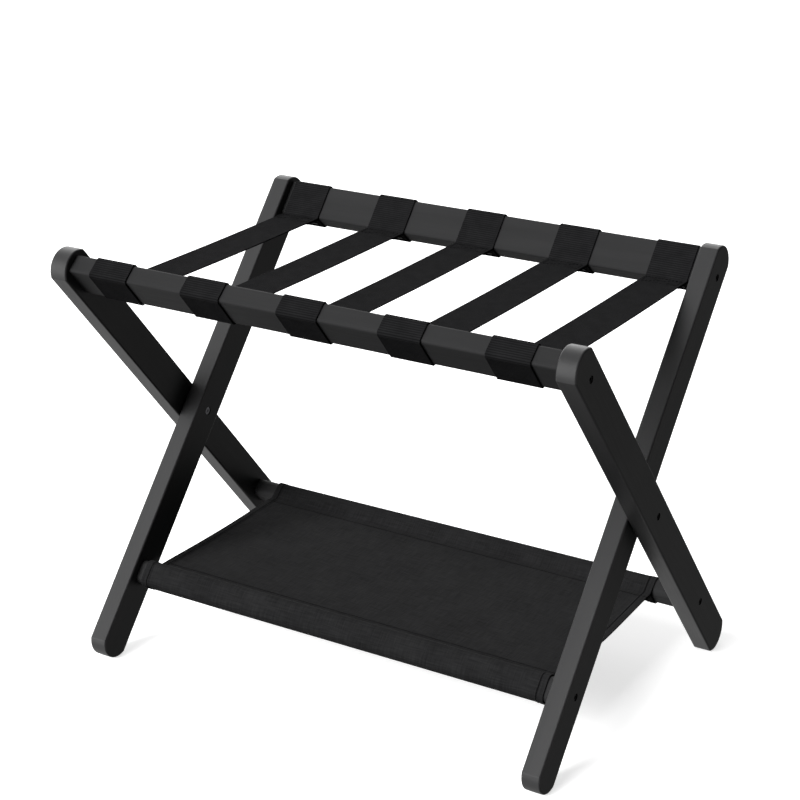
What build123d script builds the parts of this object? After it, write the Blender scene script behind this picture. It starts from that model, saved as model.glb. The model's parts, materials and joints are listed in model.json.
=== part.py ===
from build123d import *
import os
from math import cos, radians, sin, sqrt

# Folding luggage rack: two crossed wooden frames on one pivot line, webbing straps over the top
# rails and a fabric shelf slung between the lower rails. Millimetres and degrees.
# X runs along the rails, Y from front to back, Z up; the origin is on the floor, at the middle.

# Overall sizes
WIDTH = 640.0            # over the outer faces of the outer legs
LEG_LENGTH = 636.0       # tip to tip along the leg
LEG_ANGLE = 40.5         # each leg from vertical when the rack stands open

# Legs
LEG_T = 22.4             # thickness, along X
LEG_B = 43.0             # breadth, across the leg
LEG_END_R = 24.0         # radius of the rounded ends
LEG_KINK_R = 2.5         # softening where the end arc meets the leg's narrow faces
LEG_EDGE_R = 2.0         # rounding along the leg's edges
LEG_GAP = 1.2            # between an outer leg and its inner leg

# Rails: places along the leg are measured from the pivot, up is positive
RAIL_T = 22.4            # rail thickness, across the leg
TOP_RAIL_H = 44.0        # along the leg
TOP_RAIL_FROM_TIP = 30.5 # middle of the top rail to the leg's upper tip
TOP_RAIL_R = 3.0         # corner radius
LOWER_RAIL_H = 28.5
LOWER_RAIL_FROM_TIP = 107.0
LOWER_RAIL_R = 7.5

# Fasteners
HEAD_R = 3.9             # bolt head
HEAD_H = 3.5
HEAD_SINK = 1.2          # head below the leg's face
HEAD_ROOM = 0.3          # counterbore over the head, on the radius
HEX_ACROSS = 4.0         # socket in the head, across flats
HEX_DEPTH = 2.2
BOLT_R = 3.0             # rail bolt shank
BOLT_ROOM = 0.1          # hole over the shank, on the radius
BOLT_PAST_NUT = 2.0      # bolt tip beyond the barrel nut
TOP_BOLT_DROP = 7.0      # bolt below the middle of the top rail
NUT_R = 5.0              # barrel nut
NUT_L = 14.0
NUT_ROOM = 0.05          # hole over the nut, on the radius
NUT_INSET = 25.0         # barrel nut from the rail's end
DOWEL_ROOM = 0.05        # hole over the dowel, on the radius
DOWEL_IN_LEG = 12.0
DOWEL_IN_RAIL = 18.0
DOWEL_END_ROOM = 0.5
TOP_DOWEL_R = 4.0
TOP_DOWEL_STEP = 16.5    # from the bolt, up the leg
LOWER_DOWEL_R = 2.5
LOWER_DOWEL_STEP = 8.5

# Pivot
PIVOT_BOLT_R = 2.5
SLEEVE_R = 3.5
SLEEVE_RUN = 0.08        # running clearance in the inner leg, on the radius
SLEEVE_HEAD_R = 4.8
SLEEVE_HEAD_H = 2.0
SLEEVE_SINK = 1.0        # sleeve head below the inner leg's face
SLEEVE_FLOAT = 0.2       # clearance around and under the sleeve head
SLEEVE_CAP = 3.0         # closed end of the sleeve, its head included
WASHER_R = 9.0
WASHER_ROOM = 0.1        # washer hole over the sleeve, on the radius
WASHER_FLOAT = 0.3       # left between the washer and the inner leg

# Straps
STRAP_COUNT = 5
STRAP_W = 50.0
STRAP_T = 1.6
STRAP_INSET = 5.0        # between the outer straps and the inner legs
STRAP_FIT = 0.3          # between the webbing and the wood
STRAP_TAIL = 22.0        # end turned back and sewn under the span
STAPLE_W = 10.0          # staple crown
STAPLE_WIRE = 0.7
STAPLE_LEG = 8.0         # driven into the wood
STAPLE_HOLE = 0.3        # webbing opening over the wire, on each side
STAPLE_STEP = 14.0       # each side of the strap's middle
STAPLE_PLAY = 0.05       # crown off the webbing

# Shelf
SHELF_INSET = 8.0        # between the shelf's edges and the inner legs
SHELF_T = 1.2
SHELF_FIT = 0.4          # between the sleeve and the rail

PIVOT_Z = (LEG_LENGTH / 2 - LEG_END_R) * cos(radians(LEG_ANGLE)) + LEG_END_R
OUTER_RAIL_L = WIDTH - 2 * LEG_T
INNER_WIDTH = OUTER_RAIL_L - 2 * LEG_GAP
INNER_RAIL_L = INNER_WIDTH - 2 * LEG_T
TOP_RAIL_AT = LEG_LENGTH / 2 - TOP_RAIL_FROM_TIP
LOWER_RAIL_AT = LOWER_RAIL_FROM_TIP - LEG_LENGTH / 2
TOP_BOLT_AT = TOP_RAIL_AT - TOP_BOLT_DROP
LOWER_BOLT_AT = LOWER_RAIL_AT
STRAP_PITCH = (INNER_RAIL_L - 2 * STRAP_INSET - STRAP_W) / (STRAP_COUNT - 1)
SHELF_W = INNER_RAIL_L - 2 * SHELF_INSET
SINK = HEAD_SINK + HEAD_H
SIDES = {"left": -1, "right": 1}


def stand(shape, frame):
    """Lean a frame's part, drawn upright about the pivot, and lift it to the pivot's height."""
    lean = LEG_ANGLE if frame == "outer" else -LEG_ANGLE
    return Pos(0, 0, PIVOT_Z) * Rot(lean, 0, 0) * shape


def world(frame, along, across):
    """Y and Z of a point given along and across a leg, measured from the pivot."""
    lean = radians(LEG_ANGLE if frame == "outer" else -LEG_ANGLE)
    return (across * cos(lean) - along * sin(lean),
            PIVOT_Z + across * sin(lean) + along * cos(lean))


def rod(radius, start, end, along, across=0.0):
    """A cylinder parallel to X, from start to end, at a place on the leg."""
    middle = (start + end) / 2
    return Pos(middle, across, along) * Rot(0, 90, 0) * Cylinder(radius, abs(end - start))


def leg(face_x, side, frame):
    """A leg with its outer face at face_x, drawn upright about the pivot."""
    half = LEG_LENGTH / 2
    centre = half - LEG_END_R
    shoulder = centre + sqrt(LEG_END_R ** 2 - (LEG_B / 2) ** 2)
    with BuildSketch(Plane.YZ) as outline:
        with BuildLine():
            Line((LEG_B / 2, -shoulder), (LEG_B / 2, shoulder))
            ThreePointArc((LEG_B / 2, shoulder), (0, half), (-LEG_B / 2, shoulder))
            Line((-LEG_B / 2, shoulder), (-LEG_B / 2, -shoulder))
            ThreePointArc((-LEG_B / 2, -shoulder), (0, -half), (LEG_B / 2, -shoulder))
        make_face()
        fillet(outline.vertices(), LEG_KINK_R)
    body = extrude(outline.sketch, amount=LEG_T / 2, both=True)
    body = fillet(body.faces().sort_by(Axis.X)[0].edges(), LEG_EDGE_R)
    body = fillet(body.faces().sort_by(Axis.X)[-1].edges(), LEG_EDGE_R)
    body = Pos(face_x - side * LEG_T / 2, 0, 0) * body
    inside = face_x - side * LEG_T
    for at in (TOP_BOLT_AT, LOWER_BOLT_AT):
        body -= rod(HEAD_R + HEAD_ROOM, face_x, face_x - side * SINK, at)
        body -= rod(BOLT_R + BOLT_ROOM, face_x, inside, at)
    for at, radius in dowel_places():
        body -= rod(radius + DOWEL_ROOM, inside, inside + side * (DOWEL_IN_LEG + DOWEL_END_ROOM), at)
    if frame == "outer":
        body -= rod(HEAD_R + HEAD_ROOM, face_x, face_x - side * SINK, 0)
        body -= rod(PIVOT_BOLT_R + BOLT_ROOM, face_x, inside, 0)
    else:
        pocket = SLEEVE_SINK + SLEEVE_HEAD_H + SLEEVE_FLOAT
        body -= rod(SLEEVE_R + SLEEVE_RUN, face_x, inside, 0)
        body -= rod(SLEEVE_HEAD_R + SLEEVE_FLOAT, inside, inside + side * pocket, 0)
    return body


def dowel_places():
    """Place along the leg and radius of each locating dowel."""
    return ((TOP_BOLT_AT + TOP_DOWEL_STEP, TOP_DOWEL_R),
            (LOWER_BOLT_AT + LOWER_DOWEL_STEP, LOWER_DOWEL_R))


def rail(length, height, at, corner_r, bolt_at, dowel):
    """A rail between two legs, drilled at both ends."""
    bar = Box(length, RAIL_T, height)
    bar = Pos(0, 0, at) * fillet(bar.edges().filter_by(Axis.X), corner_r)
    dowel_at, dowel_r = dowel
    bottom = at - height / 2
    nut_top = bolt_at + NUT_L / 2 + NUT_ROOM
    for side in SIDES.values():
        end = side * length / 2
        reach = NUT_INSET + NUT_R + BOLT_PAST_NUT + BOLT_ROOM
        bar -= rod(BOLT_R + BOLT_ROOM, end, end - side * reach, bolt_at)
        bar -= rod(dowel_r + DOWEL_ROOM, end, end - side * (DOWEL_IN_RAIL + DOWEL_END_ROOM), dowel_at)
        pocket = Cylinder(NUT_R + NUT_ROOM, nut_top - bottom)
        bar -= Pos(end - side * NUT_INSET, 0, (nut_top + bottom) / 2) * pocket
    return bar


def hex_socket(face_x, side, depth):
    """The socket wrench opening of a head whose face is at face_x."""
    with BuildSketch(Plane.YZ) as flats:
        RegularPolygon(HEX_ACROSS / 2, 6, major_radius=False)
    socket = extrude(flats.sketch, amount=depth / 2, both=True)
    return Pos(face_x - side * depth / 2, 0, 0) * socket


def rail_bolts(face_x, at):
    """The two bolts of one rail, through legs whose outer faces are at plus and minus face_x."""
    bolts = []
    for side in SIDES.values():
        top = side * (face_x - HEAD_SINK)
        tip = side * (face_x - LEG_T - NUT_INSET - NUT_R - BOLT_PAST_NUT)
        head = rod(HEAD_R, top, top - side * HEAD_H, 0) - hex_socket(top, side, HEX_DEPTH)
        bolt = head + rod(BOLT_R, top - side * HEAD_H, tip, 0)
        bolts.append(Pos(0, 0, at) * bolt)
    return bolts


def barrel_nuts(length, at):
    """The two barrel nuts of one rail, crosswise at the bolt's line."""
    nuts = []
    for side in SIDES.values():
        nut = Cylinder(NUT_R, NUT_L) - rod(BOLT_R, -2 * NUT_R, 2 * NUT_R, 0)
        slot = Pos(0, 0, -NUT_L / 2) * Box(2 * NUT_R, 1.2, 2.0)
        nuts.append(Pos(side * (length / 2 - NUT_INSET), 0, at) * (nut - slot))
    return nuts


def dowels(length, at, radius):
    """The two locating dowels of one rail."""
    end = length / 2
    pair = []
    for side in SIDES.values():
        pin = rod(radius, side * (end - DOWEL_IN_RAIL), side * (end + DOWEL_IN_LEG), at)
        pair.append(chamfer(pin.edges().filter_by(GeomType.CIRCLE), 0.6))
    return pair


def pivot_bolt(side):
    """The bolt from the outer leg's face into the sleeve."""
    top = side * (WIDTH / 2 - HEAD_SINK)
    tip = side * (INNER_RAIL_L / 2 + SLEEVE_SINK + SLEEVE_CAP + 0.5)
    head = rod(HEAD_R, top, top - side * HEAD_H, 0) - hex_socket(top, side, HEX_DEPTH)
    return head + rod(PIVOT_BOLT_R, top - side * HEAD_H, tip, 0)


def pivot_sleeve(side):
    """The headed sleeve that the inner leg turns on."""
    face = side * (INNER_RAIL_L / 2 + SLEEVE_SINK)
    far = side * OUTER_RAIL_L / 2
    head = rod(SLEEVE_HEAD_R, face, face + side * SLEEVE_HEAD_H, 0)
    tube = rod(SLEEVE_R, face, far, 0)
    bore = rod(PIVOT_BOLT_R, face + side * SLEEVE_CAP, far, 0)
    return head + tube - bore - hex_socket(face, -side, SLEEVE_HEAD_H / 2)


def pivot_washer(side):
    """The washer between an outer leg and its inner leg."""
    near = side * OUTER_RAIL_L / 2
    far = near - side * (LEG_GAP - WASHER_FLOAT)
    return rod(WASHER_R, near, far, 0) - rod(SLEEVE_R + WASHER_ROOM, near, far, 0)


def band(frame, at, height, corner_r, fit, thickness):
    """Cross-section of fabric wrapped once around a rail, in the YZ plane."""
    lean = LEG_ANGLE if frame == "outer" else -LEG_ANGLE
    y, z = world(frame, at, 0)
    rings = []
    for grow in (fit + thickness, fit):
        ring = RectangleRounded(RAIL_T + 2 * grow, height + 2 * grow, corner_r + grow)
        rings.append(Pos(y, z) * Rot(0, 0, lean) * ring)
    return rings[0] - rings[1]


def slab(y0, y1, z0, z1):
    """A flat run of fabric in cross-section."""
    return Pos((y0 + y1) / 2, (z0 + z1) / 2) * Rectangle(abs(y1 - y0), abs(z1 - z0))


def reach(corner_r, fit, thickness, drop):
    """How far a fabric band bulges past its corner's centre, drop below that centre."""
    return sqrt((corner_r + fit + thickness / 2) ** 2 - drop ** 2)


def lengthwise(section, x, width):
    """A solid of the given width along X, from a cross-section in Y and Z."""
    return Pos(x, 0, 0) * extrude(Plane.YZ * section, amount=width / 2, both=True)


def strap_section():
    """Webbing looped round both top rails, its ends sewn under the span."""
    across = RAIL_T / 2 - TOP_RAIL_R
    y, z = world("outer", TOP_RAIL_AT - TOP_RAIL_H / 2 + TOP_RAIL_R, across)
    middle = z - STRAP_T / 2
    end = -y - reach(TOP_RAIL_R, STRAP_FIT, STRAP_T, z - middle)
    section = slab(-end, end, middle - STRAP_T / 2, z)
    under = middle - STRAP_T
    tail_end = -y - reach(TOP_RAIL_R, STRAP_FIT, STRAP_T, z - under)
    for frame, sign in (("outer", -1), ("inner", 1)):
        section += band(frame, TOP_RAIL_AT, TOP_RAIL_H, TOP_RAIL_R, STRAP_FIT, STRAP_T)
        section += slab(sign * tail_end, sign * (tail_end - STRAP_TAIL),
                        under - STRAP_T / 2, under + STRAP_T / 2)
    return section


def staple_places(x):
    """X of the staples that hold the strap whose middle is at x."""
    return (x - STAPLE_STEP, x + STAPLE_STEP)


def strap(x, section):
    """One webbing strap, pierced where its staples pass."""
    webbing = lengthwise(section, x, STRAP_W)
    opening = STAPLE_WIRE + 2 * STAPLE_HOLE
    bottom = TOP_RAIL_AT - TOP_RAIL_H / 2
    for frame in ("outer", "inner"):
        for middle in staple_places(x):
            for side in SIDES.values():
                wire_x = middle + side * (STAPLE_W - STAPLE_WIRE) / 2
                pin = Pos(wire_x, 0, bottom) * Box(opening, opening, 4 * STRAP_T)
                webbing -= stand(pin, frame)
    return webbing


def staples(centres):
    """Staples through the webbing into the underside of a top rail."""
    bottom = TOP_RAIL_AT - TOP_RAIL_H / 2
    crown_top = bottom - STRAP_FIT - STRAP_T - STAPLE_PLAY
    solids = []
    for x in centres:
        for middle in staple_places(x):
            crown = Pos(middle, 0, crown_top - STAPLE_WIRE / 2) * Box(STAPLE_W, STAPLE_WIRE, STAPLE_WIRE)
            for side in SIDES.values():
                low, high = crown_top - STAPLE_WIRE, bottom + STAPLE_LEG
                wire = Box(STAPLE_WIRE, STAPLE_WIRE, high - low)
                crown += Pos(middle + side * (STAPLE_W - STAPLE_WIRE) / 2, 0, (low + high) / 2) * wire
            solids.append(crown)
    return solids


def shelf():
    """Fabric slung between the lower rails, with a sleeve around each."""
    across = RAIL_T / 2 - LOWER_RAIL_R
    y, z = world("outer", LOWER_RAIL_AT + LOWER_RAIL_H / 2 - LOWER_RAIL_R, -across)
    end = y - reach(LOWER_RAIL_R, SHELF_FIT, SHELF_T, SHELF_T / 2)
    section = slab(-end, end, z, z + SHELF_T)
    for frame in ("outer", "inner"):
        section += band(frame, LOWER_RAIL_AT, LOWER_RAIL_H, LOWER_RAIL_R, SHELF_FIT, SHELF_T)
    return lengthwise(section, 0, SHELF_W)


def save(node, shape):
    """Write one node's solids."""
    solids = shape if isinstance(shape, list) else shape.solids()
    export_step(Compound(children=list(solids)), "parts/" + node + ".step")


os.makedirs("parts", exist_ok=True)

TOP_DOWEL, LOWER_DOWEL = dowel_places()
FRAMES = (("outer", WIDTH / 2, OUTER_RAIL_L, "front", "rear"),
          ("inner", INNER_WIDTH / 2, INNER_RAIL_L, "rear", "front"))

for frame, face_x, rail_l, top_name, lower_name in FRAMES:
    for name, side in SIDES.items():
        save(frame + "_leg_" + name, stand(leg(side * face_x, side, frame), frame))
    rails = (("top_rail_" + top_name, TOP_RAIL_H, TOP_RAIL_AT, TOP_RAIL_R, TOP_BOLT_AT, TOP_DOWEL),
             ("lower_rail_" + lower_name, LOWER_RAIL_H, LOWER_RAIL_AT, LOWER_RAIL_R,
              LOWER_BOLT_AT, LOWER_DOWEL))
    for node, height, at, corner_r, bolt_at, dowel in rails:
        save(node, stand(rail(rail_l, height, at, corner_r, bolt_at, dowel), frame))
        save(node + "_bolts", [stand(b, frame) for b in rail_bolts(face_x, bolt_at)])
        save(node + "_barrel_nuts", [stand(n, frame) for n in barrel_nuts(rail_l, bolt_at)])
        save(node + "_dowels", [stand(d, frame) for d in dowels(rail_l, *dowel)])

for name, side in SIDES.items():
    save("pivot_bolt_" + name, stand(pivot_bolt(side), "outer"))
    save("pivot_sleeve_" + name, stand(pivot_sleeve(side), "outer"))
    save("pivot_washer_" + name, stand(pivot_washer(side), "outer"))

strap_centres = [(i - (STRAP_COUNT - 1) / 2) * STRAP_PITCH for i in range(STRAP_COUNT)]
webbing_section = strap_section()
for number, x in enumerate(strap_centres, start=1):
    save("strap_%d" % number, strap(x, webbing_section))
save("strap_staples_front", [stand(s, "outer") for s in staples(strap_centres)])
save("strap_staples_rear", [stand(s, "inner") for s in staples(strap_centres)])
save("shelf_fabric", shelf())
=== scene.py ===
import json
from math import atan2, cos, pi, radians, sin, tan

import bpy
import numpy as np
from mathutils import Matrix, Vector


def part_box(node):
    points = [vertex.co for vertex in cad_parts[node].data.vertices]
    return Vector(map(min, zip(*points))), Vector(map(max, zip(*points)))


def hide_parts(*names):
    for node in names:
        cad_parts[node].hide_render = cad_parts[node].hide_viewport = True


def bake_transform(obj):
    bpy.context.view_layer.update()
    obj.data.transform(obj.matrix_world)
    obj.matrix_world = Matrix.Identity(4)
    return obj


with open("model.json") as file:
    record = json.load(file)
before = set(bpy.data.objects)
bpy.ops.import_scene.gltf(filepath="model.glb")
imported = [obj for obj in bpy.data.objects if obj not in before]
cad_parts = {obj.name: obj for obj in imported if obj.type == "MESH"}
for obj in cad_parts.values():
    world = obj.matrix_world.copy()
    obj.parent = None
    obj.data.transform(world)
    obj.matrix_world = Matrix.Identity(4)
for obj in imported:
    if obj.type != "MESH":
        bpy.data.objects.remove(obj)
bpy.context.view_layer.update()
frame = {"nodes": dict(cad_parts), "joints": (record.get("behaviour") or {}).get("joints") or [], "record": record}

# Folding luggage rack. Metres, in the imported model's own frame: X along the rails, Y from front to
# back, Z up from the floor.

MM = 0.001
PIVOT_Y, PIVOT_Z = frame["joints"][0]["pos_m"][1:]

# Camera
CAMERA_PLACE = (1.0631, -1.7631, 1.1061)
CAMERA_AZIMUTH = 31.145
CAMERA_ELEVATION = 22.392
CAMERA_ROLL = 0.137
CAMERA_LENS = 87.70
CAMERA_SHIFT_Y = 0.06

# Webbing
STRAP_NODES = ["strap_%d" % number for number in range(1, 6)]
WEBBING_T = 1.6 * MM
WEBBING_FIT = 0.3 * MM       # between the webbing and the wood
TOP_RAIL_R = 3.0 * MM
STRAP_BEND = 3.0 * MM        # where the span meets a rail
STRAP_TAIL = 22.0 * MM       # end turned back under the span
STRAP_SAG = 0.8 * MM
STRAP_FREE_Y = 160.0 * MM    # half of the span's free length
STRAP_SEWN_Y = 158.0 * MM    # outer end of the sewn box
STRAP_SEWN_EDGE = 4.0 * MM   # from its sides to the selvedges
STRAP_SEWN_INNER = 5.0 * MM  # from its inner end to the tail's end
RIB_PITCH = 2.6 * MM
RIB_DEPTH = 0.40 * MM
RIB_STEPS = 6                # stations per rib
SELVEDGE = 2.2 * MM          # smooth edge of the webbing
YARN_PITCH = 0.95 * MM

# Shelf cloth
CLOTH_T = 1.2 * MM           # depth that the shelf's solid allows for the cloth
CLOTH_SINGLE = 0.7 * MM      # one layer
CLOTH_HEM = 1.8 * MM         # folded over twice
CLOTH_FIT = 0.4 * MM
LOWER_RAIL_R = 7.5 * MM
SHELF_BEND = 5.0 * MM        # where the panel meets a rail
SHELF_TAIL = 12.0 * MM       # seam allowance under the panel
SHELF_FREE_Y = 117.0 * MM    # half of the panel's free length
SHELF_SAG = 1.2 * MM
SHELF_EDGE_SAG = 2.8 * MM    # more at the free edges
SHELF_LEFT_SAG = 0.25        # share of it at the left edge
SHELF_EDGE_REACH = 150.0 * MM
SHELF_RIPPLE = 0.35 * MM
HEM = 10.0 * MM              # folded side hem
HEM_LINE = 8.2 * MM          # its row of stitches
HEM_PRESS = 0.70             # share of the depth that the stitches press in
HEM_GROOVE = 0.75 * MM
SLEEVE_SEAM = 107.5 * MM     # seam beside each sleeve, from the middle of the panel
CLOTH_STEP = 1.4 * MM
CLOTH_COLUMN = 6.0 * MM
WEAVE_PITCH = 0.9 * MM

# Thread
THREAD_R = 0.32 * MM
STITCH_PITCH = 4.0 * MM
STITCH_SPAN = (0.1, 0.9)     # shares of the pitch where a stitch starts and ends
THREAD_ARCH = 1.5            # in thread radii: how far a stitch rises from its ends
THREAD_SUNK = 0.6            # and how deep they lie
THREAD_END = 0.55            # thickness of the ends

# Colours: dark and light tone, or one tone
PAINT = ((0.0150, 0.0150, 0.0154), (0.0205, 0.0205, 0.0210))
# lighter edges: partly wear, partly a painted highlight
PAINT_WORN_AND_HIGHLIGHT = (0.085, 0.082, 0.078)
WEBBING_YARN = ((0.0080, 0.0080, 0.0084), (0.0118, 0.0118, 0.0123))
WEBBING_CROSSING = (0.0170, 0.0170, 0.0176)
# painted shade in the webbing's rib valleys
WEBBING_VALLEY_SHADE = (0.0018, 0.0018, 0.0020)
CLOTH_YARN = ((0.0056, 0.0056, 0.0059), (0.0164, 0.0164, 0.0169))
CLOTH_CROSSING = (0.0225, 0.0225, 0.0230)
# painted shade in the shelf's hem grooves and along the seam beside each sleeve
CLOTH_GROOVE_SHADE = (0.0012, 0.0012, 0.0013)
THREAD = ((0.0022, 0.0022, 0.0024), (0.0050, 0.0050, 0.0053))
BLACK_STEEL = ((0.045, 0.045, 0.047), (0.085, 0.085, 0.088))
ZINC_STEEL = ((0.30, 0.30, 0.32), (0.45, 0.45, 0.47))
STAPLE_STEEL = ((0.030, 0.030, 0.031), (0.070, 0.070, 0.072))
NYLON = ((0.016, 0.016, 0.017), (0.026, 0.026, 0.027))
BEECH = ((0.42, 0.27, 0.14), (0.62, 0.44, 0.26))
BEECH_FLECK = (0.24, 0.13, 0.06)

# Paint gloss: specular level, lowest and highest roughness
LEG_GLOSS = (0.50, 0.34, 0.46)
RAIL_GLOSS = (0.20, 0.60, 0.74)

# Studio
KEY_FROM = (-0.30, -0.80, 0.62)
KEY_POWER = 5.5
KEY_ANGLE = 34.0
SUN_AWAY = 3.0               # where its lamp stands, which only the eye needs
SKY_LEFT = 0.85              # soft light from the left and above
SKY_RIGHT = 0.05
SKY_TURN = (-0.5, 0.2)       # X of the direction where it starts and ends its fall
SKY_BELOW = 0.30             # share of it that comes from below
RIM_FROM = (-0.50, 0.80, 0.35)       # glow behind, which the tops of the rounded ends catch
RIM_GLOW = 1.8
RIM_REACH = 0.72             # cosine at which a glow ends
FRONT_FROM = (-0.48, -0.87, 0.15)    # glow low in front
FRONT_GLOW = 2.2
FRONT_REACH = 0.76
PAPER_GLOW = 0.50            # the white floor as gloss shows it
FLAG_AT = 0.33               # X of the direction where a black flag hides it
FLAG_REACH = 0.80            # how far from there it still hides some
FLAG_SHOWS = 0.04            # what it leaves where it hides most
FLOOR_GREY = 0.86
FLOOR_GLOW = 0.68
FLOOR_REACH = 14.0


# Cross-sections

ARC_POINTS = 25              # on each rounded corner, before the path is spaced evenly


def lean_of(node):
    """Lean of a rail's frame about X, from the rail's place round the pivot."""
    low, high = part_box(node)
    y = (low.y + high.y) / 2 - PIVOT_Y
    z = (low.z + high.z) / 2 - PIVOT_Z
    return atan2(-y, z) if z > 0 else atan2(y, -z)


def leg_extent(node, lean):
    """Lowest and highest place of a node across and along its leg, measured from the pivot."""
    points = np.array([vertex.co for vertex in frame["nodes"][node].data.vertices])
    y = points[:, 1] - PIVOT_Y
    z = points[:, 2] - PIVOT_Z
    across = y * cos(lean) + z * sin(lean)
    along = z * cos(lean) - y * sin(lean)
    return across.min(), across.max(), along.min(), along.max()


def to_yz(lean, across, along):
    """Y and Z of a place across and along a leg."""
    return (PIVOT_Y + across * cos(lean) - along * sin(lean),
            PIVOT_Z + across * sin(lean) + along * cos(lean))


def meet(point, direction, height):
    """Where a line in the YZ plane reaches a height."""
    share = (height - point[1]) / direction[1]
    return (point[0] + direction[0] * share, height)


def wrap(node, offset, inner_along, upper, lower, tail):
    """Corners of a path round a rail: tail, round the rail, and back to the level span.

    inner_along is +1 where the innermost corner is the rail's upper end and -1 where it is the
    lower end. upper and lower are the heights of the span and of the tail under it."""
    lean = lean_of(node)
    low_across, high_across, low_along, high_along = leg_extent(node, lean)
    low_across -= offset
    high_across += offset
    low_along -= offset
    high_along += offset
    if inner_along < 0:
        near, far = low_along, high_along
        inside, outside = (high_across, low_across) if lean > 0 else (low_across, high_across)
        under = [(inside, near), (outside, near), (outside, far), (inside, far)]
    else:
        near, far = high_along, low_along
        inside, outside = (low_across, high_across) if lean > 0 else (high_across, low_across)
        under = [(inside, near), (inside, far), (outside, far), (outside, near)]
    corners = [to_yz(lean, *place) for place in under]
    first = np.subtract(corners[1], corners[0])
    last = np.subtract(corners[0], corners[3])
    leave_tail = meet(corners[0], first, lower)
    leave_span = meet(corners[0], last, upper)
    inward = -1 if corners[0][0] > 0 else 1
    start = (leave_tail[0] + inward * tail, lower)
    return [start, leave_tail] + corners[1:] + [leave_span]


def rounded(corners, radii, step):
    """Evenly spaced points on a path of straight runs joined by arcs."""
    dense = [np.array(corners[0])]
    for before, corner, after, radius in zip(corners, corners[1:], corners[2:], radii):
        corner = np.array(corner)
        come = corner - np.array(before)
        leave = np.array(after) - corner
        come /= np.linalg.norm(come)
        leave /= np.linalg.norm(leave)
        turn = atan2(come[0] * leave[1] - come[1] * leave[0], come @ leave)
        side = 1 if turn > 0 else -1
        start = corner - come * radius * tan(abs(turn) / 2)
        centre = start + side * radius * np.array([-come[1], come[0]])
        for share in np.linspace(0, 1, ARC_POINTS):
            angle = turn * share
            spoke = start - centre
            dense.append(centre + np.array([spoke[0] * cos(angle) - spoke[1] * sin(angle),
                                            spoke[0] * sin(angle) + spoke[1] * cos(angle)]))
    dense.append(np.array(corners[-1]))
    dense = np.array(dense)
    run = np.concatenate([[0], np.cumsum(np.linalg.norm(np.diff(dense, axis=0), axis=1))])
    count = int(round(run[-1] / step))
    along = np.linspace(0, run[-1], count + 1)
    points = np.stack([np.interp(along, run, dense[:, 0]), np.interp(along, run, dense[:, 1])], 1)
    return points, along


def normals_of(points):
    """Unit normals of a path in the YZ plane."""
    tangent = np.gradient(points, axis=0)
    tangent /= np.linalg.norm(tangent, axis=1)[:, None]
    return np.stack([-tangent[:, 1], tangent[:, 0]], 1)


def loop_path(front, rear, offset, corner_r, inner_along, span_z, layer, tail, bend, step):
    """One length of cloth looped round two rails, both its ends turned back under the span."""
    first = wrap(front, offset, inner_along, span_z, span_z - layer, tail)
    second = wrap(rear, offset, inner_along, span_z, span_z - layer, tail)
    around = corner_r + offset
    corners = first + second[::-1]
    radii = [bend, around, around, around, bend, bend, around, around, around, bend]
    return rounded(corners, radii, step)


# Meshes

def new_object(name, points, faces, material):
    """A smooth-shaded mesh object in the scene."""
    mesh = bpy.data.meshes.new(name)
    mesh.from_pydata([tuple(point) for point in points], [], [tuple(face) for face in faces])
    mesh.polygons.foreach_set("use_smooth", [True] * len(mesh.polygons))
    mesh.materials.append(material)
    mesh.update()
    made = bpy.data.objects.new(name, mesh)
    bpy.context.scene.collection.objects.link(made)
    return made


def ribbon(name, path, along, columns, thickness, material):
    """A closed band of cloth. columns are X places; thickness(along, column) is half its depth."""
    normals = normals_of(path)
    rows, count = len(path), len(columns)
    half = thickness(along[:, None], np.array(columns)[None, :])
    ring = []
    for sign, order in ((1, range(count)), (-1, range(count - 2, 0, -1))):
        for column in order:
            offset = half[:, column] * sign
            x = np.full(rows, columns[column])
            y = path[:, 0] + normals[:, 0] * offset
            z = path[:, 1] + normals[:, 1] * offset
            ring.append(np.stack([x, y, z], 1))
    around = len(ring)
    points = np.stack(ring, 1).reshape(-1, 3)
    faces = []
    for row in range(rows - 1):
        here, there = row * around, (row + 1) * around
        for k in range(around):
            k2 = (k + 1) % around
            faces.append((here + k, here + k2, there + k2, there + k))
    faces.append(tuple(range(around - 1, -1, -1)))
    faces.append(tuple(range((rows - 1) * around, rows * around)))
    made = new_object(name, points, faces, material)
    runs = np.repeat(along, around)
    add_cloth_map(made, runs)
    return made


def add_cloth_map(made, runs):
    """A map of the cloth as cut, in metres: X, and the distance along the cloth."""
    mesh = made.data
    layer = mesh.uv_layers.new(name="cloth")
    index = np.zeros(len(mesh.loops), np.int32)
    mesh.loops.foreach_get("vertex_index", index)
    places = np.zeros(len(mesh.vertices) * 3, np.float32)
    mesh.vertices.foreach_get("co", places)
    x = places.reshape(-1, 3)[index, 0]
    layer.data.foreach_set("uv", np.stack([x, runs[index]], 1).astype(np.float32).ravel())


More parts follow.
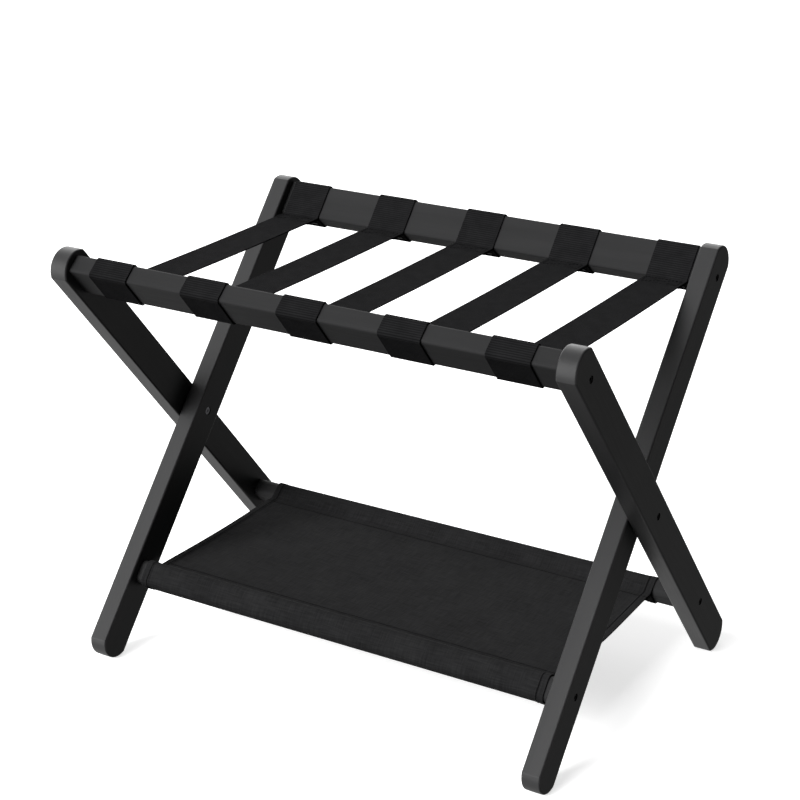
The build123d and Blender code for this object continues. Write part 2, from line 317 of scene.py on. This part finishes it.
def thread(name, stitches, material):
    """Short arched stitches, each from one point to another on a surface with the given normal."""
    sides, rings = 6, 5
    points, faces = [], []
    for start, end, normal in stitches:
        start, end, normal = Vector(start), Vector(end), Vector(normal).normalized()
        direction = (end - start).normalized()
        side = direction.cross(normal)
        base = len(points)
        for ring in range(rings):
            share = ring / (rings - 1)
            rise = sin(pi * share)
            middle = start.lerp(end, share) + normal * THREAD_R * (THREAD_ARCH * rise - THREAD_SUNK)
            size = THREAD_R * (THREAD_END + (1 - THREAD_END) * rise)
            for k in range(sides):
                angle = 2 * pi * k / sides
                points.append(middle + (side * cos(angle) + normal * sin(angle)) * size)
        for ring in range(rings - 1):
            for k in range(sides):
                k2 = (k + 1) % sides
                low, high = base + ring * sides, base + (ring + 1) * sides
                faces.append((low + k, low + k2, high + k2, high + k))
        faces.append(tuple(base + k for k in range(sides - 1, -1, -1)))
        faces.append(tuple(base + (rings - 1) * sides + k for k in range(sides)))
    return new_object(name, points, faces, material)


# Materials

def new_material(name):
    """A new node material, its tree and its shader."""
    made = bpy.data.materials.new(name)
    made.use_nodes = True
    return made, made.node_tree, made.node_tree.nodes["Principled BSDF"]


def add_node(tree, kind, **settings):
    """A new node with the given properties."""
    made = tree.nodes.new(kind)
    for key, value in settings.items():
        setattr(made, key, value)
    return made


def calculated(tree, operation, first, second=0.0):
    """A Math node's result. Each operand is a number or a socket."""
    made = add_node(tree, "ShaderNodeMath", operation=operation)
    for socket, value in zip(made.inputs, (first, second)):
        if isinstance(value, (int, float)):
            socket.default_value = value
        else:
            tree.links.new(value, socket)
    return made.outputs[0]


def weighted(tree, first, first_share, second, second_share):
    """The sum of two values, each times its share."""
    return calculated(tree, "ADD", calculated(tree, "MULTIPLY", first, first_share),
                      calculated(tree, "MULTIPLY", second, second_share))


def noise(tree, vector, scale, detail=3.0, roughness=0.5):
    """Noise from 0 to 1 at a place, with scale in cells per metre."""
    made = add_node(tree, "ShaderNodeTexNoise")
    tree.links.new(vector, made.inputs["Vector"])
    made.inputs["Scale"].default_value = scale
    made.inputs["Detail"].default_value = detail
    made.inputs["Roughness"].default_value = roughness
    return made.outputs["Fac"]


def mapped(tree, vector, rotation=(0, 0, 0), scale=(1, 1, 1)):
    """A place turned, and stretched along the axes whose scale is under 1."""
    made = add_node(tree, "ShaderNodeMapping")
    tree.links.new(vector, made.inputs["Vector"])
    made.inputs["Rotation"].default_value = rotation
    made.inputs["Scale"].default_value = scale
    return made.outputs[0]


def ranged(tree, value, low, high, from_low=0.0, from_high=1.0):
    """A value brought from one range to another, and held within it."""
    made = add_node(tree, "ShaderNodeMapRange")
    tree.links.new(value, made.inputs["Value"])
    made.inputs["From Min"].default_value = from_low
    made.inputs["From Max"].default_value = from_high
    made.inputs["To Min"].default_value = low
    made.inputs["To Max"].default_value = high
    return made.outputs[0]


def blended(tree, factor, first, second):
    """A colour between two others, each of them a tuple or a socket."""
    made = add_node(tree, "ShaderNodeMix", data_type="RGBA")
    tree.links.new(factor, made.inputs["Factor"])
    for socket, value in ((made.inputs[6], first), (made.inputs[7], second)):
        if isinstance(value, tuple):
            socket.default_value = (*value, 1)
        else:
            tree.links.new(value, socket)
    return made.outputs[2]


def bumped(tree, height, distance, strength=1.0, under=None):
    """A normal bent by a height, on top of another normal where one is given."""
    made = add_node(tree, "ShaderNodeBump")
    tree.links.new(height, made.inputs["Height"])
    made.inputs["Distance"].default_value = distance
    made.inputs["Strength"].default_value = strength
    if under is not None:
        tree.links.new(under, made.inputs["Normal"])
    return made.outputs[0]


def wear_and_highlight_mask(tree, radius, noise_value):
    """Near 1 on edges that carry wear and a painted highlight, 0 elsewhere."""
    bevel = add_node(tree, "ShaderNodeBevel", samples=6)
    bevel.inputs["Radius"].default_value = radius
    geometry = add_node(tree, "ShaderNodeNewGeometry")
    dot = add_node(tree, "ShaderNodeVectorMath", operation="DOT_PRODUCT")
    tree.links.new(bevel.outputs[0], dot.inputs[0])
    tree.links.new(geometry.outputs["Normal"], dot.inputs[1])
    edge = ranged(tree, dot.outputs["Value"], 1.0, 0.0, 0.90, 0.995)
    wear_and_highlight = ranged(tree, noise_value, 0.0, 1.0, 0.45, 0.7)
    return calculated(tree, "MULTIPLY", edge, wear_and_highlight)


def painted_wood(name, gloss, lean=None):
    """Satin black paint with the grain just showing, and lighter edges that are partly wear and partly a painted
    highlight. lean turns the grain along a leg, and without it the grain runs along X. gloss is the specular level
    and the lowest and highest roughness."""
    level, smooth, rough = gloss
    made, tree, shader = new_material(name)
    place = add_node(tree, "ShaderNodeTexCoord").outputs["Object"]
    if lean is None:
        grain_place = mapped(tree, place, scale=(0.05, 1, 1))
    else:
        turned = mapped(tree, place, rotation=(-lean, 0, 0))
        grain_place = mapped(tree, turned, scale=(1, 1, 0.05))
    grain = noise(tree, grain_place, 420, detail=4, roughness=0.65)
    broad = noise(tree, grain_place, 60, detail=2)
    cloud = noise(tree, place, 9, detail=2)
    peel = noise(tree, place, 900, detail=2)
    tone = weighted(tree, broad, 0.6, cloud, 0.4)
    paint = blended(tree, ranged(tree, tone, 0, 1, 0.3, 0.7), *PAINT)
    # lighter edges, partly wear and partly a painted highlight
    wear_and_highlight = wear_and_highlight_mask(tree, 1.2 * MM, noise(tree, place, 140, detail=3))
    colour = blended(tree, calculated(tree, "MULTIPLY", wear_and_highlight, 0.5), paint, PAINT_WORN_AND_HIGHLIGHT)
    tree.links.new(colour, shader.inputs["Base Color"])
    uneven = weighted(tree, grain, 0.5, cloud, 0.5)
    tree.links.new(ranged(tree, uneven, smooth, rough, 0.3, 0.7), shader.inputs["Roughness"])
    shader.inputs["Specular IOR Level"].default_value = level
    fine = bumped(tree, peel, 0.02 * MM, 0.6)
    tree.links.new(bumped(tree, grain, 0.05 * MM, 0.7, under=fine), shader.inputs["Normal"])
    return made


def cloth_place(tree):
    """Distance across and along the cloth, from the map that its mesh carries."""
    flat = add_node(tree, "ShaderNodeUVMap", uv_map="cloth").outputs[0]
    parts = add_node(tree, "ShaderNodeSeparateXYZ")
    tree.links.new(flat, parts.inputs[0])
    return flat, parts.outputs["X"], parts.outputs["Y"]


def wave(tree, value, pitch):
    """A sine of the given pitch, from -1 to 1."""
    angle = calculated(tree, "MULTIPLY", value, 2 * pi / pitch)
    return calculated(tree, "SINE", angle)


def webbing_material():
    """Black polypropylene webbing: cross ribs are in the mesh, and the yarns are here, with painted shade in the
    rib valleys.
    """
    made, tree, shader = new_material("webbing")
    flat, across, along = cloth_place(tree)
    yarn = wave(tree, across, YARN_PITCH)
    # a quarter of a pitch brings the wave's lowest place to the mesh's valleys
    rib = wave(tree, calculated(tree, "SUBTRACT", along, RIB_PITCH / 4), RIB_PITCH)
    crossing = calculated(tree, "MULTIPLY", yarn, rib)
    fuzz = noise(tree, flat, 2600, detail=3, roughness=0.7)
    patch = noise(tree, flat, 70, detail=3)
    colour = blended(tree, ranged(tree, patch, 0, 1, 0.3, 0.7), *WEBBING_YARN)
    colour = blended(tree, ranged(tree, crossing, 0, 0.35, -1, 1), colour, WEBBING_CROSSING)
    # painted shade darkens the rib valleys
    colour = blended(tree, ranged(tree, rib, 0, 0.62, 0.2, -1), colour, WEBBING_VALLEY_SHADE)
    tree.links.new(colour, shader.inputs["Base Color"])
    tree.links.new(ranged(tree, fuzz, 0.74, 0.92, 0.3, 0.7), shader.inputs["Roughness"])
    shader.inputs["Specular IOR Level"].default_value = 0.02
    height = weighted(tree, crossing, 0.5, fuzz, 0.5)
    tree.links.new(bumped(tree, height, 0.12 * MM, 0.9), shader.inputs["Normal"])
    return made


def groove_shade(tree, place, away, width):
    """A mask of painted shade on the two lines where place is away or minus away: 0.85 on them, 0 beside them."""
    beside = calculated(tree, "SUBTRACT", calculated(tree, "ABSOLUTE", place), away)
    beside = calculated(tree, "ABSOLUTE", beside)
    return ranged(tree, beside, 0.85, 0.0, 0.2 * width, 1.6 * width)


def shelf_material(seam_x, middle):
    """Charcoal plain-weave polyester with slightly uneven yarns, and painted shade in the grooves of its hem
    stitches and along the seam beside each sleeve.
    seam_x is how far each hem's stitches are from the cloth's middle in X, and middle is how far the
    panel's middle is along the cloth."""
    made, tree, shader = new_material("shelf_cloth")
    flat, across, along = cloth_place(tree)
    over = wave(tree, across, WEAVE_PITCH)
    under = wave(tree, along, WEAVE_PITCH)
    weave = calculated(tree, "MULTIPLY", over, under)
    weft = noise(tree, mapped(tree, flat, scale=(0.06, 1, 1)), 700, detail=2)
    warp = noise(tree, mapped(tree, flat, scale=(1, 0.06, 1)), 700, detail=2)
    heather = calculated(tree, "ADD", weft, warp)
    patch = noise(tree, flat, 22, detail=3)
    fuzz = noise(tree, flat, 3000, detail=2)
    tone = weighted(tree, heather, 0.4, patch, 0.2)
    colour = blended(tree, ranged(tree, tone, 0, 1, 0.36, 0.64), *CLOTH_YARN)
    colour = blended(tree, ranged(tree, weave, 0, 0.3, -1, 1), colour, CLOTH_CROSSING)
    # painted shade along the hem stitching and the seam beside each sleeve
    hem = groove_shade(tree, across, seam_x, HEM_GROOVE)
    sleeve_seam_shade = groove_shade(tree, calculated(tree, "SUBTRACT", along, middle), SLEEVE_SEAM, HEM_GROOVE)
    colour = blended(tree, calculated(tree, "MAXIMUM", hem, sleeve_seam_shade), colour, CLOTH_GROOVE_SHADE)
    tree.links.new(colour, shader.inputs["Base Color"])
    tree.links.new(ranged(tree, fuzz, 0.78, 0.95, 0.3, 0.7), shader.inputs["Roughness"])
    shader.inputs["Specular IOR Level"].default_value = 0.02
    shader.inputs["Sheen Weight"].default_value = 0.015
    shader.inputs["Sheen Roughness"].default_value = 0.5
    height = calculated(tree, "ADD", calculated(tree, "MULTIPLY", weave, 0.5), heather)
    tree.links.new(bumped(tree, height, 0.10 * MM, 0.8), shader.inputs["Normal"])
    return made


def thread_material():
    """Black polyester thread with its twist."""
    made, tree, shader = new_material("thread")
    place = add_node(tree, "ShaderNodeTexCoord").outputs["Object"]
    twist = noise(tree, place, 2200, detail=2)
    tree.links.new(blended(tree, twist, *THREAD), shader.inputs["Base Color"])
    tree.links.new(ranged(tree, twist, 0.60, 0.80), shader.inputs["Roughness"])
    shader.inputs["Specular IOR Level"].default_value = 0.08
    tree.links.new(bumped(tree, twist, 0.05 * MM, 0.8), shader.inputs["Normal"])
    return made


def hardware(name, tones, rough, metallic=1.0):
    """Steel, or nylon where metallic is 0, with fine scratches and uneven gloss. rough is the lowest
    and highest roughness."""
    made, tree, shader = new_material(name)
    place = add_node(tree, "ShaderNodeTexCoord").outputs["Object"]
    scratch = noise(tree, place, 600, detail=4, roughness=0.7)
    patch = noise(tree, place, 130, detail=3)
    tone = ranged(tree, calculated(tree, "ADD", scratch, patch), 0, 1, 0.7, 1.3)
    tree.links.new(blended(tree, tone, *tones), shader.inputs["Base Color"])
    tree.links.new(ranged(tree, scratch, *rough, 0.3, 0.7), shader.inputs["Roughness"])
    shader.inputs["Metallic"].default_value = metallic
    tree.links.new(bumped(tree, scratch, 0.02 * MM, 0.6), shader.inputs["Normal"])
    return made


def beech_material():
    """Bare beech dowels, with grain along X and short darker flecks."""
    made, tree, shader = new_material("dowel_wood")
    place = add_node(tree, "ShaderNodeTexCoord").outputs["Object"]
    grain = noise(tree, mapped(tree, place, scale=(0.08, 1, 1)), 900, detail=4, roughness=0.6)
    fleck = noise(tree, mapped(tree, place, scale=(0.25, 1, 1)), 1500, detail=2)
    wood = blended(tree, ranged(tree, grain, 0, 1, 0.3, 0.7), *BEECH)
    colour = blended(tree, ranged(tree, fleck, 0, 0.6, 0.6, 0.75), wood, BEECH_FLECK)
    tree.links.new(colour, shader.inputs["Base Color"])
    tree.links.new(ranged(tree, grain, 0.55, 0.75), shader.inputs["Roughness"])
    tree.links.new(bumped(tree, grain, 0.06 * MM, 0.8), shader.inputs["Normal"])
    return made


# Wood and steel

def finish_frame():
    """A material for each CAD piece, by its slot in the record. The soft ones are replaced later."""
    lean = lean_of("top_rail_front")
    by_slot = {
        "black_steel": hardware("black_steel", BLACK_STEEL, (0.28, 0.44)),
        "zinc_steel": hardware("zinc_steel", ZINC_STEEL, (0.36, 0.52)),
        "staple_steel": hardware("staple_steel", STAPLE_STEEL, (0.30, 0.46)),
        "nylon": hardware("nylon", NYLON, (0.42, 0.58), metallic=0.0),
        "dowel_wood": beech_material(),
    }
    rails = painted_wood("painted_rail", RAIL_GLOSS)
    outer = painted_wood("painted_outer_leg", LEG_GLOSS, lean)
    inner = painted_wood("painted_inner_leg", LEG_GLOSS, -lean)
    slots = {part["node"]: part["material_slot"] for part in frame["record"]["subparts"]}
    for name, piece in frame["nodes"].items():
        slot = slots[name]
        chosen = by_slot.get(slot)
        if slot == "painted_wood":
            chosen = rails if "rail" in name else outer if "outer" in name else inner
        if chosen is not None:
            piece.data.materials.clear()
            piece.data.materials.append(chosen)


# What the straps and the shelf share

def rounded_edge(inward, radius):
    """Share of a cloth's depth at a distance from its edge: 0 at the edge, and 1 a radius inward."""
    return np.sqrt(np.clip(1 - (1 - np.clip(inward / radius, 0, 1)) ** 2, 0, 1))


def mount_height(name):
    """Height of the face that the record gives as a mount."""
    return next(mount for mount in frame["record"]["mounts"] if mount["name"] == name)["pos_m"][2]


def stitch_row(start, end, normal):
    """Stitches along a straight line."""
    start, end = np.array(start), np.array(end)
    length = np.linalg.norm(end - start)
    count = max(1, int(round(length / STITCH_PITCH)))
    made = []
    for number in range(count):
        first, last = (start + (end - start) * (number + share) / count for share in STITCH_SPAN)
        made.append((first, last, normal))
    return made


# Straps

def strap_columns(low, high):
    """X places across the webbing, close together over its rounded selvedges."""
    width = high - low
    edge = [0.0, 0.12 * MM, 0.4 * MM, 0.9 * MM, 1.5 * MM, SELVEDGE]
    inside = [width * share for share in (0.25, 0.5, 0.75)]
    return [low + place for place in edge + inside] + [high - place for place in reversed(edge)]


def strap_thickness(low, high):
    """Half depth of the webbing: ribs across it, and smooth rounded selvedges a little fuller."""
    edge_r = 0.9 * MM
    full_at = 1.0 * MM
    full_reach = 0.6 * MM
    fullness = 0.10
    ribs_from = 0.6 * MM
    ribs_least = 0.12

    def half(along, x):
        inward = np.minimum(x - low, high - x)
        rounding = rounded_edge(inward, edge_r)
        fuller = 1 + fullness * np.exp(-((inward - full_at) / full_reach) ** 2)
        fade = np.clip((inward - ribs_from) / (SELVEDGE - ribs_from), ribs_least, 1)
        valley = 1 - np.abs(np.sin(pi * along / RIB_PITCH))
        return WEBBING_T / 2 * rounding * fuller - RIB_DEPTH * valley * fade * rounding
    return half


def make_straps(webbing, sewing):
    """Each strap as one length of webbing looped round both top rails, with its sewn ends."""
    span_z = mount_height("luggage_rest") - WEBBING_T / 2
    path, along = loop_path("top_rail_front", "top_rail_rear", WEBBING_FIT + WEBBING_T / 2, TOP_RAIL_R,
                            -1, span_z, WEBBING_T, STRAP_TAIL, STRAP_BEND, RIB_PITCH / RIB_STEPS)
    share = np.clip(np.abs(path[:, 0]) / STRAP_FREE_Y, 0, 1)
    path[:, 1] -= STRAP_SAG * (1 - share ** 2) ** 2
    for name in STRAP_NODES:
        low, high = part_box(name)
        columns = strap_columns(low.x, high.x)
        strap = ribbon(name + "_webbing", path, along, columns, strap_thickness(low.x, high.x), webbing)
        stitches = strap_stitches(name + "_stitches", low.x, high.x, span_z, sewing)
        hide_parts(name)
        for piece in (strap, stitches):
            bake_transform(piece)


def strap_stitches(name, low, high, span_z, sewing):
    """A sewn box with a cross at each end, seen above and below."""
    outer_y = STRAP_SEWN_Y
    inner_y = STRAP_SEWN_Y - STRAP_TAIL + STRAP_SEWN_INNER
    rows = []
    for side in (-1, 1):
        for height, up in ((span_z + WEBBING_T / 2, 1), (span_z - 1.5 * WEBBING_T, -1)):
            a, b = low + STRAP_SEWN_EDGE, high - STRAP_SEWN_EDGE
            y0, y1 = side * outer_y, side * inner_y
            corners = [(a, y0), (b, y0), (b, y1), (a, y1)]
            lines = list(zip(corners, corners[1:] + corners[:1]))
            lines += [((a, y0), (b, y1)), ((b, y0), (a, y1))]
            for (xa, ya), (xb, yb) in lines:
                rows += stitch_row((xa, ya, height), (xb, yb, height), (0, 0, up))
    return thread(name, rows, sewing)


# Shelf

def shelf_columns(low, high):
    """X places across the cloth, close together over its hems."""
    seam = [HEM_LINE + step * HEM_GROOVE for step in (-1.9, -1.3, -0.9, -0.5, 0.0, 0.5, 0.9, 1.3, 1.9)]
    edge = [0.0, 0.15 * MM, 0.5 * MM, 1.1 * MM, 2.4 * MM, 4.5 * MM] + seam
    edge += [HEM, HEM + 0.4 * MM, HEM + 1.2 * MM]
    first, last = low + edge[-1], high - edge[-1]
    count = int(round((last - first) / CLOTH_COLUMN))
    inside = [first + (last - first) * k / count for k in range(1, count)]
    return [low + place for place in edge] + inside + [high - place for place in reversed(edge)]


def shelf_thickness(low, high):
    """Half depth of the cloth: folded over in the hems, and pressed in where they are sewn."""
    edge_r = 0.6 * MM
    step_width = 0.4 * MM

    def half(along, x):
        inward = np.minimum(x - low, high - x)
        rounding = rounded_edge(inward, edge_r)
        folded = np.clip((HEM + step_width - inward) / step_width, 0, 1)
        depth = CLOTH_SINGLE + (CLOTH_HEM - CLOTH_SINGLE) * folded
        pressed = 1 - HEM_PRESS * np.exp(-((inward - HEM_LINE) / HEM_GROOVE) ** 2)
        return depth / 2 * rounding * pressed + 0 * along    # the same all the way along
    return half


def make_shelf(sewing):
    """The shelf as one hemmed cloth looped round both lower rails."""
    low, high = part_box("shelf_fabric")
    panel_z = mount_height("shelf_rest") - CLOTH_T / 2
    path, along = loop_path("lower_rail_front", "lower_rail_rear", CLOTH_FIT + CLOTH_T / 2, LOWER_RAIL_R,
                            1, panel_z, CLOTH_T, SHELF_TAIL, SHELF_BEND, CLOTH_STEP)
    columns = shelf_columns(low.x, high.x)
    cloth = shelf_material(high.x - HEM_LINE, along[-1] / 2)
    shelf = ribbon("shelf_cloth", path, along, columns, shelf_thickness(low.x, high.x), cloth)
    settle(shelf, low.x, high.x)
    stitches = shelf_stitches(path, along, low.x, high.x, panel_z, sewing)
    settle(stitches, low.x, high.x)
    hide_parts("shelf_fabric")
    for piece in (shelf, stitches):
        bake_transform(piece)


def fading(inward):
    """1 at the cloth's edge, and 0 from SHELF_EDGE_REACH inward."""
    return max(0.0, 1 - inward / SHELF_EDGE_REACH) ** 2


def settle(piece, low, high):
    """Lets the panel hang a little between the rails, more at its free edges, with faint ripples."""
    for vertex in piece.data.vertices:
        x, y, _ = vertex.co
        if abs(y) >= SHELF_FREE_Y:
            continue
        share = (1 - (y / SHELF_FREE_Y) ** 2) ** 2
        edge = SHELF_LEFT_SAG * fading(x - low) + fading(high - x)
        # two crossing waves, in radians per metre, each from a place of its own
        ripple = sin(x * 31 + 1.3) * sin(y * 23 + 0.6) + 0.5 * sin(x * 67 - y * 41 + 2.0)
        vertex.co.z -= share * (SHELF_SAG + SHELF_EDGE_SAG * edge + SHELF_RIPPLE * ripple)


def shelf_stitches(path, along, low, high, panel_z, sewing):
    """A row along each hem, all the way round, and a seam beside each sleeve."""
    normals = normals_of(path)
    rows = []
    for x in (low + HEM_LINE, high - HEM_LINE):
        for number in range(int(along[-1] / STITCH_PITCH)):
            ends = [(number + share) * STITCH_PITCH for share in STITCH_SPAN]
            for face in (-1, 1):
                lift = face * CLOTH_HEM / 2 * (1 - HEM_PRESS)
                spots = []
                for place in ends:
                    y, z = (np.interp(place, along, path[:, k]) for k in (0, 1))
                    n = [np.interp(place, along, normals[:, k]) for k in (0, 1)]
                    spots.append((x, y + n[0] * lift, z + n[1] * lift))
                rows.append((spots[0], spots[1], (0, n[0] * face, n[1] * face)))
    for side in (-1, 1):
        y = side * SLEEVE_SEAM
        for height, up in ((panel_z + CLOTH_SINGLE / 2, 1), (panel_z - CLOTH_T - CLOTH_SINGLE / 2, -1)):
            rows += stitch_row((low + HEM, y, height), (high - HEM, y, height), (0, 0, up))
    return thread("shelf_stitches", rows, sewing)


# Stage

def sun_light(name, source, power, angle):
    """A broad, even light that comes from the direction of source."""
    light = bpy.data.lights.new(name, "SUN")
    light.energy = power
    light.angle = radians(angle)
    made = bpy.data.objects.new(name, light)
    made.location = Vector(source) * SUN_AWAY
    made.rotation_euler = (-Vector(source)).to_track_quat("-Z", "Y").to_euler()
    made.visible_glossy = False
    bpy.context.scene.collection.objects.link(made)


def glow(tree, direction, source, strength, reach):
    """A soft patch of light round one direction of the sky."""
    dot = add_node(tree, "ShaderNodeVectorMath", operation="DOT_PRODUCT")
    tree.links.new(direction, dot.inputs[0])
    dot.inputs[1].default_value = Vector(source).normalized()
    return ranged(tree, dot.outputs["Value"], 0, strength, reach, 1.0)


def gloss_light(tree, direction, x, z):
    """What only gloss shows: the white floor behind a black flag, and two glows."""
    from_flag = calculated(tree, "ABSOLUTE", calculated(tree, "SUBTRACT", x, FLAG_AT))
    paper = ranged(tree, from_flag, FLAG_SHOWS, PAPER_GLOW, 0.0, FLAG_REACH)
    light = calculated(tree, "MULTIPLY", paper, ranged(tree, z, 1.0, 0.0, -0.15, 0.05))
    for patch in ((RIM_FROM, RIM_GLOW, RIM_REACH), (FRONT_FROM, FRONT_GLOW, FRONT_REACH)):
        light = calculated(tree, "ADD", light, glow(tree, direction, *patch))
    return light


def light_sky(tree):
    """Soft light from the left and above, with more in gloss. The backdrop itself shows white."""
    background = tree.nodes["Background"]
    direction = add_node(tree, "ShaderNodeTexCoord").outputs["Generated"]
    parts = add_node(tree, "ShaderNodeSeparateXYZ")
    tree.links.new(direction, parts.inputs[0])
    x, z = parts.outputs["X"], parts.outputs["Z"]
    level = ranged(tree, x, SKY_LEFT, SKY_RIGHT, *SKY_TURN)
    soft = calculated(tree, "MULTIPLY", level, ranged(tree, z, SKY_BELOW, 1.0, -0.3, 0.3))
    rays = add_node(tree, "ShaderNodeLightPath")
    in_gloss = calculated(tree, "MULTIPLY", gloss_light(tree, direction, x, z),
                          rays.outputs["Is Glossy Ray"])
    soft = calculated(tree, "ADD", soft, in_gloss)
    white = calculated(tree, "MAXIMUM", soft, rays.outputs["Is Camera Ray"])
    tree.links.new(white, background.inputs["Strength"])
    background.inputs["Color"].default_value = (1, 1, 1, 1)


def paper_material():
    """Pale paper that glows a little, so that it shows white."""
    made, tree, shader = new_material("floor_paper")
    place = add_node(tree, "ShaderNodeTexCoord").outputs["Object"]
    fibre = noise(tree, place, 260, detail=3)
    paper = blended(tree, fibre, (FLOOR_GREY * 0.985,) * 3, (FLOOR_GREY,) * 3)
    tree.links.new(paper, shader.inputs["Base Color"])
    shader.inputs["Roughness"].default_value = 0.9
    shader.inputs["Specular IOR Level"].default_value = 0.1
    shader.inputs["Emission Color"].default_value = (1, 1, 1, 1)
    shader.inputs["Emission Strength"].default_value = FLOOR_GLOW
    return made


def make_stage():
    """The sky, the key light and the floor."""
    scene = bpy.context.scene
    world = bpy.data.worlds.new("studio")
    world.use_nodes = True
    light_sky(world.node_tree)
    scene.world = world
    scene.view_settings.view_transform = "Standard"
    sun_light("key", KEY_FROM, KEY_POWER, KEY_ANGLE)
    corners = [(x * FLOOR_REACH, y * FLOOR_REACH, 0) for x, y in ((-1, -1), (1, -1), (1, 1), (-1, 1))]
    floor = new_object("floor", corners, [(0, 1, 2, 3)], paper_material())
    floor.visible_glossy = False
    floor.visible_diffuse = False


def make_camera():
    """The camera, which looks down at the rack from its front right."""
    azimuth, elevation, roll = (radians(a) for a in (CAMERA_AZIMUTH, CAMERA_ELEVATION, CAMERA_ROLL))
    forward = Vector((-sin(azimuth) * cos(elevation), cos(azimuth) * cos(elevation), -sin(elevation)))
    right = forward.cross(Vector((0, 0, 1))).normalized()
    up = right.cross(forward)
    right, up = right * cos(roll) + up * sin(roll), up * cos(roll) - right * sin(roll)
    data = bpy.data.cameras.new("camera")
    data.lens = CAMERA_LENS
    data.shift_y = CAMERA_SHIFT_Y
    camera = bpy.data.objects.new("camera", data)
    turned = Matrix((right, up, -forward)).transposed().to_4x4()
    camera.matrix_world = Matrix.Translation(CAMERA_PLACE) @ turned
    bpy.context.scene.collection.objects.link(camera)
    bpy.context.scene.camera = camera


make_camera()
make_stage()
finish_frame()
sewing_thread = thread_material()
make_straps(webbing_material(), sewing_thread)
make_shelf(sewing_thread)
